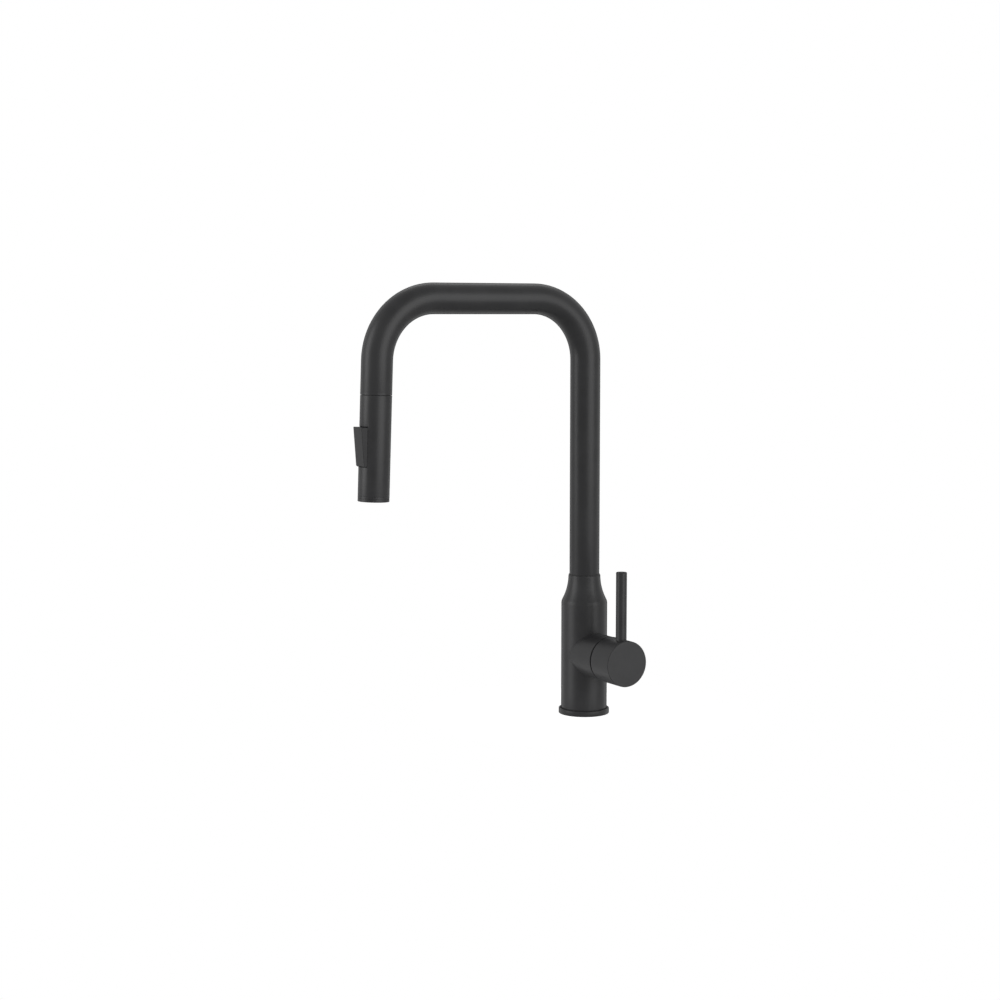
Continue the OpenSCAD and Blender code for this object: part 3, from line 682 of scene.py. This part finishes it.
@dataclass
class Paintbox:
    """Makes each finish once for each drawing frame that it is used in."""

    frames: Frames
    groups: dict[Effect, Tree]  # the shared effects, as node groups
    made: dict[str, bpy.types.Material] = field(default_factory=dict)

    def material(self, kind: Finishes, place: Place) -> bpy.types.Material:
        """Give a finish as a material whose pattern follows a drawing frame.

        Args:
            kind: the finish.
            place: the drawing frame that the effect's Z axis belongs to.

        Returns:
            The material.
        """
        finish = kind.value
        name = f"{kind.name.lower()}_{place.value}"
        if name in self.made:
            return self.made[name]
        material = bpy.data.materials.new(name)
        material.use_nodes = True
        sheet = Sheet(material.node_tree)
        back = self.frames.matrix(place).inverted()
        inputs = {
            "Vector": sheet.add("TexCoord", {}).outputs["Object"],
            "Location": tuple(back.translation),
            "Rotation": tuple(back.to_euler()),
        }
        inputs = {
            "Vector": sheet.add("Mapping", inputs).outputs[0],
            "Scale": finish.scale,
            "Roughness": finish.roughness,
            "Spread": finish.spread,
        }
        effect = sheet.add("Group", {}, node_tree=self.groups[finish.effect])
        height, tone, wander = sheet.wire(effect, inputs).outputs
        facing = sheet.add("LayerWeight", {"Blend": 0.5}).outputs["Facing"]
        grazed = sheet.spread(facing, 0.0, finish.grazing, *GRAZING)
        relief = {"Height": height, "Distance": finish.relief * MM, "Strength": 1.0}
        inputs = {
            "Base Color": sheet.mix(tone, finish.dark, finish.light),
            "Roughness": sheet.work_out("MAXIMUM", wander, grazed),
            "Normal": sheet.add("Bump", relief).outputs["Normal"],
            "Metallic": finish.metallic,
            "Specular IOR Level": finish.specular,
        }
        sheet.wire(sheet.tree.nodes["Principled BSDF"], inputs)
        self.made[name] = material
        return material


# ---------- sub-assemblies ----------


@dataclass
class Part:
    """What every sub-assembly has, and how it dresses its pieces."""

    nodes: dict[str, Piece]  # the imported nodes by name
    paints: Paintbox
    bench: Bench

    def build(self) -> None:
        """Make and dress the sub-assembly."""

    def paint(self, piece: Piece, kind: Finishes, place: Place | None = None) -> None:
        """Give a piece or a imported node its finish.

        Args:
            piece: the piece.
            kind: the finish.
            place: the drawing frame that its pattern follows, or None for the bench's own.
        """
        piece.data.materials.clear()
        piece.data.materials.append(self.paints.material(kind, place or self.bench.place))
        log.info("%s: %d faces in %s", piece.name, len(piece.data.polygons), kind.value.slot)

    def dress(self, kind: Finishes, *names: str, place: Place | None = None) -> None:
        """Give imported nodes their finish, in the bench's drawing frame or another."""
        for name in names:
            self.paint(self.nodes[name], kind, place)

    def fit(self, piece: Piece, kind: Finishes, body: str, *nodes: str) -> None:
        """Paint a new piece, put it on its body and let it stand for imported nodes.

        Args:
            piece: the piece.
            kind: the finish.
            body: the body that it rides on.
            nodes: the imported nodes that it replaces.
        """
        self.paint(piece, kind)
        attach(piece, body)
        if nodes:
            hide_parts(*nodes)


@dataclass
class Column(Part):
    """The body on the deck, its base ring, its wiper and the thread in its socket."""

    ring_inner: float = 21.85
    ring_outer: float = 23.8
    ring_height: float = 5.0
    ring_edge: float = 0.8  # rounding of its upper outer edge
    foot_edge: float = 0.3  # rounding of its other edges
    socket: float = 17.2  # radius of the socket
    thread_depth: float = 0.8
    thread_pitch: float = 1.5  # its rise on each turn, and where it starts
    thread_length: float = 9.0
    thread_bite: float = 0.2  # how far its root stands in the wall
    thread_root: float = 0.42  # half its width at the root, over its pitch
    thread_crest: float = 0.08  # half its width at the crest, over its pitch
    turn_facets: int = 64
    neck_top: float = 131.6
    neck_bore: float = 14.25
    wiper_bore: float = 14.04
    wiper_outer: float = 14.6  # outside radius of its lip
    wiper_reach: float = 0.6  # its reach above and below the neck's top
    wiper_play: float = 0.03  # clearance to the neck
    wiper_edge: float = 0.15
    facets: int = 128

    def base_flange(self) -> None:
        """Turn the ring that stands round the body's foot."""
        edges = (0, self.foot_edge, self.ring_edge, self.foot_edge)
        corners = oblong(self.ring_inner, 0, self.ring_outer, self.ring_height, *edges)
        ring = self.bench.turned("base_flange", corners, self.facets)
        self.fit(ring, Finishes.COAT, "body", "base_ring")

    def socket_thread(self) -> None:
        """Wind the thread that the mounting shank screws into."""
        pitch = self.thread_pitch
        root, crest = self.socket + self.thread_bite, self.socket - self.thread_depth
        half, flat = pitch * self.thread_root, pitch * self.thread_crest
        corners = [(root, -half, 0), (crest, -flat, 0), (crest, flat, 0), (root, half, 0)]
        turns = self.thread_length / pitch
        thread = self.bench.coil("socket_thread", corners, pitch, turns, self.turn_facets, pitch)
        self.fit(thread, Finishes.COAT, "body")

    def neck_wiper(self) -> None:
        """Turn the rubber ring that wipes the riser where it enters the neck."""
        foot, crest = self.neck_top - self.wiper_reach, self.neck_top + self.wiper_reach
        inside, shelf = self.neck_bore - self.wiper_play, self.neck_top + self.wiper_play
        corners = [
            (self.wiper_bore, foot, 0),
            (inside, foot, 0),
            (inside, shelf, 0),
            (self.wiper_outer, shelf, 0),
            (self.wiper_outer, crest, self.wiper_edge),
            (self.wiper_bore, crest, 0),
        ]
        ring = self.bench.turned("neck_wiper", corners, self.facets)
        self.fit(ring, Finishes.BLACK_RUBBER, "body")

    def build(self) -> None:
        """Make and dress the column."""
        self.dress(Finishes.COAT, "body")
        self.dress(Finishes.BLACK_RUBBER, "base_gasket")
        self.base_flange()
        self.socket_thread()
        self.neck_wiper()


@dataclass
class Cartridge(Part):
    """The ceramic cartridge under the handle, with its nut and its dome cap."""

    def build(self) -> None:
        """Dress the cartridge."""
        self.dress(Finishes.WHITE_PLASTIC, "cartridge_base", "cartridge_housing")
        self.dress(Finishes.BLACK_RUBBER, "hot_seal", "cold_seal", "mixed_seal")
        self.dress(Finishes.CERAMIC, "fixed_disc", "moving_disc")
        self.dress(Finishes.BLUE_PLASTIC, "stem_carrier", "drive_plate")
        self.dress(Finishes.BRASS, "retaining_nut")
        self.dress(Finishes.COAT, "dome_cap")
        self.dress(Finishes.STEEL, "stem_pin", "stem")


@dataclass
class Handle(Part):
    """The hub, the lever rod, and the screw that holds the hub on the stem."""

    def build(self) -> None:
        """Dress the handle, whose rod and screw stand upright."""
        self.dress(Finishes.COAT, "hub")
        self.dress(Finishes.COAT, "lever_rod", place=Place.DECK)
        self.dress(Finishes.STEEL, "set_screw", place=Place.DECK)
        self.dress(Finishes.SHELL, "screw_plug", place=Place.DECK)


@dataclass
class Spout(Part):
    """The bent tube and what holds it in the neck."""

    radius: float = 14.0  # outside radius of the tube
    wall: float = 1.2
    foot: float = 90.05  # height of its lower end
    bend_radius: float = 56.0  # radius of its centre line in both bends
    bend_height: float = 333.2  # height of both bends' centres
    level: float = 103.8  # length of the level stretch
    last_turn: float = 88.0  # how far the second bend turns, in degrees
    leg: float = 30.2  # length of the falling leg
    mouth_edge: float = 0.2  # rounding of its ends
    segments: int = 96
    bend_steps: int = 36
    clip_inner: float = 13.4
    clip_outer: float = 15.5
    clip_low: float = 91.55
    clip_height: float = 1.2
    clip_edge: float = 0.15
    clip_gap: float = 7.0  # width of its opening

    def pipe(self) -> None:
        """Draw the tube up the riser, over both bends and down the leg."""
        clear_selection()
        bpy.ops.mesh.primitive_circle_add(vertices=self.segments, radius=self.radius)
        piece = open_piece("spout_pipe")
        bpy.ops.transform.translate(value=(0, 0, self.foot))
        tilt = math.radians(90 + self.last_turn)
        extrude((0, 0, self.bend_height - self.foot))
        self.bend(-self.bend_radius, 90)
        extrude((0, -self.level, 0))
        self.bend(-self.bend_radius - self.level, self.last_turn)
        extrude((0, -math.sin(tilt) * self.leg, math.cos(tilt) * self.leg))
        self.bench.finish(piece)
        apply_modifier(piece, "SOLIDIFY", thickness=self.wall * MM, offset=-1)
        self.bench.soften(piece, self.mouth_edge, sharp_deg=60)
        self.fit(piece, Finishes.COAT, "spout", "spout_tube")

    def bend(self, centre: float, degrees: float) -> None:
        """Sweep the tube's open end round a bend whose centre stands at that Y."""
        sweep = {"center": (0, centre, self.bend_height), "axis": ALONG_X}
        bpy.ops.mesh.spin(steps=self.bend_steps, angle=-math.radians(degrees), **sweep)

    def circlip(self) -> None:
        """Turn the retaining clip and cut its opening."""
        low, thick, edges = self.clip_low, self.clip_height, [self.clip_edge] * 4
        corners = oblong(self.clip_inner, low, self.clip_outer, low + thick, *edges)
        ring = self.bench.turned("circlip", corners)
        gap = oblong(-2 * self.clip_outer, low - thick, 0, low + 2 * thick)
        self.bench.shape(ring, "DIFFERENCE", self.bench.slab("clip_gap", gap, self.clip_gap))
        self.fit(ring, Finishes.STEEL, "spout", "retaining_clip")

    def build(self) -> None:
        """Make and dress the spout."""
        self.pipe()
        self.circlip()
        self.dress(Finishes.WHITE_PLASTIC, "upper_bush", "lower_bush", "thrust_washer")


@dataclass
class Dock(Part):
    """The collar, magnet and guide in the end of the leg."""

    def build(self) -> None:
        """Dress the dock."""
        self.dress(Finishes.SHELL, "dock_sleeve")
        self.dress(Finishes.MAGNET, "dock_magnet")
        self.dress(Finishes.WHITE_PLASTIC, "hose_guide")


@dataclass
class Hose(Part):
    """The pull-out hose, its stretch in the dock and its end fitting."""

    radius: float = 5.5
    bore: float = 3.5
    top: float = 20.0  # where the stretch begins, up the leg
    low: float = 9.0  # where it enters the ferrule
    rings: int = 48  # how many rings run along its length
    facets: int = 48

    def stretch(self) -> None:
        """Turn the hose's stretch, from where it begins up the leg down to where it enters the
        ferrule.
        """
        step = (self.top - self.low) / self.rings
        heights = [self.low + step * i for i in range(self.rings + 1)]
        corners = [(self.radius, z, 0) for z in heights]
        corners += [(self.bore, z, 0) for z in reversed(heights)]
        stretch = self.bench.turned("hose_stretch", corners, self.facets)
        self.paint(stretch, Finishes.BRAID)
        start, end = self.bench.point(self.top), self.bench.point(self.low)
        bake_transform(stretch)
        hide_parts("hose_tail")

    def build(self) -> None:
        """Make and dress the hose."""
        self.stretch()
        self.dress(Finishes.BRAID, "pull_out_hose", place=Place.DECK)
        self.dress(Finishes.STEEL, "hose_ferrule")
        self.dress(Finishes.BRASS, "hose_cone")
        self.dress(Finishes.BLACK_RUBBER, "cone_seal")


@dataclass(frozen=True)
class Pin:
    """The place of the toggle's pin."""

    out: float = 9.5  # its distance from the leg's axis
    height: float = -45.55

    def along(self) -> Matrix:
        """Give the move that lays an upright bar along the pin."""
        across = Matrix.Rotation(QUARTER_TURN, 4, "Y")
        return Matrix.Translation((0, -self.out, self.height)) @ across


@dataclass
class SprayHead(Part):
    """The spray head's shell, outlet and docking neck."""

    radius: float = 14.0
    bore: float = 12.4
    top: float = -0.3
    plate: float = 1.5  # thickness of the shell's top
    low: float = -89.0
    neck_hole: float = 9.4  # radius of the docking neck's hole
    edge: float = 0.4
    well_half: float = 8.2  # half the toggle's well across
    well_floor: float = 6.8  # distance of its floor from the axis
    well_low: float = -63.5
    well_high: float = -27.7
    well_edge: float = 0.15
    pin: Pin = Pin()
    pin_length: float = 18.3  # length of the pin's bore
    pin_radius: float = 1.0
    pin_facets: int = 32
    face_low: float = -93.7  # height of the outlet's face
    face_lip: float = 11.5  # bore of the outlet's lip
    face_edge: float = 0.4
    lip_edge: float = 0.1
    plate_low: float = -91.5  # the nozzle plate's lower face
    groove: float = -91.2  # height of the groove round the outlet ring
    groove_size: float = 0.5  # its width and its depth
    groove_edge: float = 0.05
    mat_low: float = -89.5
    mat_high: float = -88.0
    mat_outer: float = 12.3
    mat_inner: float = 7.1
    mat_edge: float = 0.2
    nozzles: int = 20
    nozzle_place: float = 10.0  # radius of the circle they stand on
    nozzle_root: float = 0.9  # radius at the root
    nozzle_tip: float = 0.7  # radius at the tip
    nozzle_bore: float = 0.4
    nozzle_end: float = -92.3
    nozzle_facets: int = 20
    facets: int = 128

    def shell(self) -> None:
        """Turn the shell and cut the toggle's well and the pin's bore."""
        under = self.top - self.plate
        corners = [
            (self.bore, self.low, 0),
            (self.radius, self.low, self.edge / 2),
            (self.radius, self.top, self.edge),
            (self.neck_hole, self.top, self.edge / 2),
            (self.neck_hole, under, 0),
            (self.bore, under, 0),
        ]
        piece = self.bench.turned("spray_shell", corners, self.facets)
        sides = oblong(-2 * self.radius, self.well_low, -self.well_floor, self.well_high)
        well = self.bench.slab("well", sides, 2 * self.well_half)
        half = self.pin_length / 2
        bore = self.bench.bar(self.pin_radius, -half, half, self.pin_facets, self.pin.along())
        self.bench.shape(piece, "DIFFERENCE", well, bore)
        self.bench.soften(piece, self.well_edge, sharp_deg=55)
        self.fit(piece, Finishes.SHELL, "spray_head", "head_shell")

    def bezel(self) -> None:
        """Turn the ring round the outlet, with its lip and its groove."""
        groove_top = self.groove + self.groove_size
        root = self.radius - self.groove_size
        corners = [
            (self.face_lip, self.face_low, self.face_edge),
            (self.radius, self.face_low, self.face_edge),
            (self.radius, self.groove, self.groove_edge),
            (root, self.groove, 0),
            (root, groove_top, 0),
            (self.radius, groove_top, self.groove_edge),
            (self.radius, self.low, self.edge / 2),
            (self.bore, self.low, 0),
            (self.bore, self.plate_low, 0),
            (self.face_lip, self.plate_low, self.lip_edge),
        ]
        ring = self.bench.turned("face_bezel", corners, self.facets)
        self.fit(ring, Finishes.SHELL, "spray_head", "face_ring")

    def nozzle_field(self) -> None:
        """Make the rubber mat with its ring of tapered nozzles."""
        bench, bore = self.bench, self.nozzle_bore
        edges = (0, 0, self.mat_edge, self.mat_edge)
        corners = oblong(self.mat_inner, self.mat_low, self.mat_outer, self.mat_high, *edges)
        mat = bench.turned("nozzle_field", corners)
        out = Matrix.Translation((self.nozzle_place, 0, 0))
        root = self.mat_high - bore
        corners = [
            (bore, root, 0),
            (self.nozzle_root, root, 0),
            (self.nozzle_root, self.plate_low, 0),
            (self.nozzle_tip, self.nozzle_end, (self.nozzle_tip - bore) / 2),
            (bore, self.nozzle_end, 0),
        ]
        nozzle = bench.turned("nozzle", corners, self.nozzle_facets, out)
        hole = (bore + self.nozzle_root) / 2
        low, high = self.mat_low - self.plate, self.mat_high + self.plate
        drill = bench.bar(hole, low, high, self.nozzle_facets, out)
        for operation, tool in (("DIFFERENCE", drill), ("UNION", nozzle)):
            bench.repeat(tool, self.nozzles)
            bench.shape(mat, operation, tool)
        self.fit(mat, Finishes.GREY_RUBBER, "spray_head", "nozzle_mat")

    def build(self) -> None:
        """Make and dress the spray head."""
        self.shell()
        self.bezel()
        self.nozzle_field()
        self.dress(Finishes.GREY_PLASTIC, "head_core", "dock_neck")
        self.dress(Finishes.BLACK_PLASTIC, "nozzle_plate", "aerator_housing")
        self.dress(Finishes.BLACK_RUBBER, "core_seal")
        self.dress(Finishes.STEEL, "catch_ring", "toggle_pin", "aerator_screen")


@dataclass
class CheckValve(Part):
    """The non-return valve under the hose's fitting."""

    spring_radius: float = 2.35  # mean radius of the spring
    wire: float = 0.25  # radius of its wire
    low: float = -28.8  # where it stands on the cage
    high: float = -22.6  # where the poppet rests on it
    turns: int = 6
    wire_facets: int = 10
    turn_facets: int = 32
    lift: float = 1.6  # how far the poppet opens

    def spring(self) -> None:
        """Wind the valve's coil spring, which stands on the cage and carries the poppet."""
        corners = []
        for i in range(self.wire_facets):
            a = FULL_TURN * i / self.wire_facets
            across, up = self.wire * math.cos(a), self.wire * math.sin(a)
            corners.append((self.spring_radius + across, up, 0))
        pitch = (self.high - self.low - 2 * self.wire) / self.turns
        winding = pitch, self.turns, self.turn_facets, self.low + self.wire
        spring = self.bench.coil("valve_spring", corners, *winding)
        self.fit(spring, Finishes.STEEL, "spray_head", "check_spring")
        axis, anchor = self.bench.axis(), self.bench.point(self.low)
        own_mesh(spring)

    def build(self) -> None:
        """Make and dress the valve."""
        self.spring()
        self.dress(Finishes.WHITE_PLASTIC, "check_seat", "check_cage", "check_poppet")


@dataclass
class Toggle(Part):
    """The rocker on the spray head, and the spool that it slides."""

    width: float = 16.2
    back: float = 9.4  # distance of the rocker's back from the head's axis
    foot: float = -63.3
    head_radius: float = 14.0
    chamfer: float = 1.0  # slope at its lower end
    proud: float = 3.6  # how far its top stands out of the head
    top: float = -28.4
    step: float = 1.0  # how much thinner it is at its top
    back_high: float = -41.55  # where its back begins to slope
    pin: Pin = Pin()
    pin_radius: float = 1.05
    eye: float = 2.3  # radius of the eye round the pin
    finger_width: float = 2.4
    finger_height: float = 1.6
    finger_in: float = 5.2  # distance of its tip from the axis
    edge: float = 0.35
    facets: int = 48

    def rocker(self) -> None:
        """Make the rocker with its eye, its bore and its finger."""
        bench, along, face = self.bench, self.pin.along(), self.head_radius
        outline = [
            (-self.back, self.foot, 0),
            (-face + self.chamfer, self.foot, 0),
            (-face, self.foot + self.chamfer, 0),
            (-face - self.proud, self.top, 0),
            (-self.back - self.step, self.top, 0),
            (-self.back, self.back_high, 0),
        ]
        piece = bench.slab("rocker", outline, self.width, self.edge)
        half = (self.width - 2 * self.edge) / 2
        eye = bench.bar(self.eye, -half, half, self.facets, along)
        low = self.pin.height - self.finger_height / 2
        into, high = -self.pin.out - self.eye / 2, low + self.finger_height
        finger = bench.slab("finger", oblong(into, low, -self.finger_in, high), self.finger_width)
        bench.shape(piece, "UNION", eye, finger)
        bore = bench.bar(self.pin_radius, -self.width, self.width, self.facets, along)
        bench.shape(piece, "DIFFERENCE", bore)
        bench.settle(piece)
        self.fit(piece, Finishes.ROCKER, "spray_toggle", "toggle")

    def build(self) -> None:
        """Make and dress the toggle."""
        self.rocker()
        self.dress(Finishes.WHITE_PLASTIC, "spool")


PARTS = {
    Column: Place.DECK,
    Cartridge: Place.HANDLE,
    Handle: Place.HANDLE,
    Spout: Place.DECK,
    Dock: Place.LEG,
    Hose: Place.LEG,
    SprayHead: Place.LEG,
    CheckValve: Place.LEG,
    Toggle: Place.LEG,
}


# ---------- studio ----------


@dataclass
class Lamp:
    """One soft lamp, placed by its direction from the faucet."""

    name: str
    turn: float  # degrees round from the camera, anticlockwise from above
    rise: float  # degrees above the level
    power: float  # in watts
    width: float  # in metres
    height: float
    distance: float = 4.8  # from the faucet


@dataclass
class Studio:
    """Camera, lamps, white surround and pale floor, in metres."""

    azimuth: float = 60.03  # the camera's direction round the faucet, in degrees
    elevation: float = 5.579  # in degrees
    distance: float = 1.77351
    lens: float = 68.09  # in millimetres
    sensor: float = 36.0  # in millimetres
    aim: float = 0.2  # the height that the picture is centred near
    left: float = 0.079426  # the camera's shift to the left of the aim
    above: float = 0.001877  # and above it
    surround: float = 0.06  # brightness of the surround on the object
    floor_radius: float = 0.165
    floor_core: float = 0.05  # radius up to which the floor is whole
    floor_grey: float = 0.6
    floor_roughness: float = 0.9
    floor_glow: float = 0.85  # its lift towards white where it is seen
    floor_drop: float = 0.0001  # its depth under the faucet's foot
    floor_facets: int = 96
    lamps: tuple[Lamp, ...] = (
        Lamp("left_softbox", -73, 12, 186, 2.4, 4.6),
        Lamp("right_softbox", 45, 8, 206, 4.0, 4.0),
        Lamp("high_softbox", 55, 35, 12, 1.6, 3.0),
        Lamp("back_softbox", 180, 40, 20, 3.0, 2.0),
    )

    def direction(self, turn: float, rise: float) -> Vector:
        """Point from the faucet, so many degrees round from the camera and above the level."""
        a, e = math.radians(self.azimuth + turn), math.radians(rise)
        return Vector((math.sin(a) * math.cos(e), -math.cos(a) * math.cos(e), math.sin(e)))

    def stand(self, name: str, data: bpy.types.ID, offset: Vector) -> Piece:
        """Stand a camera or a lamp at a place from the aim.

        Args:
            name: its name.
            data: the camera or the lamp.
            offset: where it stands from the aim, in metres.

        Returns:
            Its object.
        """
        item = bpy.data.objects.new(name, data)
        bpy.context.scene.collection.objects.link(item)
        item.location = Vector((0, 0, self.aim)) + offset
        return item

    def camera(self) -> None:
        """Set up the camera."""
        data = bpy.data.cameras.new("camera")
        data.lens = self.lens
        data.sensor_width = self.sensor
        back = self.direction(0, self.elevation)
        turn = math.radians(self.azimuth)
        side = Vector((math.cos(turn), math.sin(turn), 0))
        up = back.cross(side)
        offset = back * self.distance - side * self.left + up * self.above
        item = self.stand("camera", data, offset)
        item.rotation_euler = Matrix((side, up, back)).transposed().to_euler()
        bpy.context.scene.camera = item

    def light(self, lamp: Lamp) -> None:
        """Set up one lamp.

        Args:
            lamp: the lamp.
        """
        data = bpy.data.lights.new(lamp.name, "AREA")
        data.shape = "RECTANGLE"
        data.size = lamp.width
        data.size_y = lamp.height
        data.energy = lamp.power
        away = self.direction(lamp.turn, lamp.rise)
        item = self.stand(lamp.name, data, away * lamp.distance)
        item.rotation_euler = (-away).to_track_quat("-Z", "Y").to_euler()

    def world(self) -> None:
        """Surround the faucet with plain light that shows as white."""
        world = bpy.data.worlds.new("surround")
        bpy.context.scene.world = world
        world.use_nodes = True
        sheet = Sheet(world.node_tree)
        inputs = {"Value": sheet.seen(), "To Min": self.surround, "To Max": 1.0}
        strength = sheet.add("MapRange", inputs).outputs[0]
        sheet.wire(sheet.tree.nodes["Background"], {"Color": WHITE, "Strength": strength})

    def floor(self) -> None:
        """Lay a pale round floor whose rim fades away and whose underside can't be seen."""
        clear_selection()
        rim = {"vertices": self.floor_facets, "radius": self.floor_radius}
        drop = (0, 0, -self.floor_drop)
        bpy.ops.mesh.primitive_circle_add(**rim, fill_type="NGON", location=drop)
        piece = open_piece("floor")
        bpy.ops.mesh.inset(thickness=self.floor_radius - self.floor_core)
        bpy.ops.object.mode_set(mode="OBJECT")
        material = bpy.data.materials.new("floor")
        material.use_nodes = True
        sheet = Sheet(material.node_tree)
        inputs = {
            "Base Color": (self.floor_grey,) * 3 + (1,),
            "Roughness": self.floor_roughness,
            "Specular IOR Level": 0.0,
            "Emission Color": WHITE,
            "Emission Strength": sheet.times(sheet.seen(), self.floor_glow),
        }
        shader = sheet.wire(sheet.tree.nodes["Principled BSDF"], inputs)
        where = sheet.add("TexCoord", {}).outputs["Object"]
        reach = sheet.add("VectorMath", {0: where}, operation="LENGTH").outputs["Value"]
        whole = sheet.spread(reach, 1.0, 0.0, self.floor_core, self.floor_radius)
        beneath = sheet.add("NewGeometry", {}).outputs["Backfacing"]
        clear = sheet.add("BsdfTransparent", {}).outputs[0]
        solid = sheet.times(whole, sheet.work_out("SUBTRACT", 1.0, beneath))
        fade = sheet.add("MixShader", {0: solid, 1: clear, 2: shader.outputs[0]})
        sheet.wire(sheet.tree.nodes["Material Output"], {"Surface": fade.outputs[0]})
        piece.data.materials.append(material)

    def build(self) -> None:
        """Set up the whole studio."""
        bpy.context.scene.view_settings.view_transform = "Standard"
        self.camera()
        for lamp in self.lamps:
            self.light(lamp)
        self.world()
        self.floor()


def main() -> None:
    """Load the frame, light it and build each sub-assembly round it."""
    logging.basicConfig(level=logging.INFO, format="%(name)s: %(message)s")
    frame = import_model()
    frames = Frames({joint["name"]: joint for joint in frame["joints"]})
    paints = Paintbox(frames, {effect: make_group(effect) for effect in Effect})
    Studio().build()
    for part, place in PARTS.items():
        log.info("building the %s", part.__name__)
        part(frame["nodes"], paints, Bench(frames, place)).build()


if __name__ == "__main__":
    main()
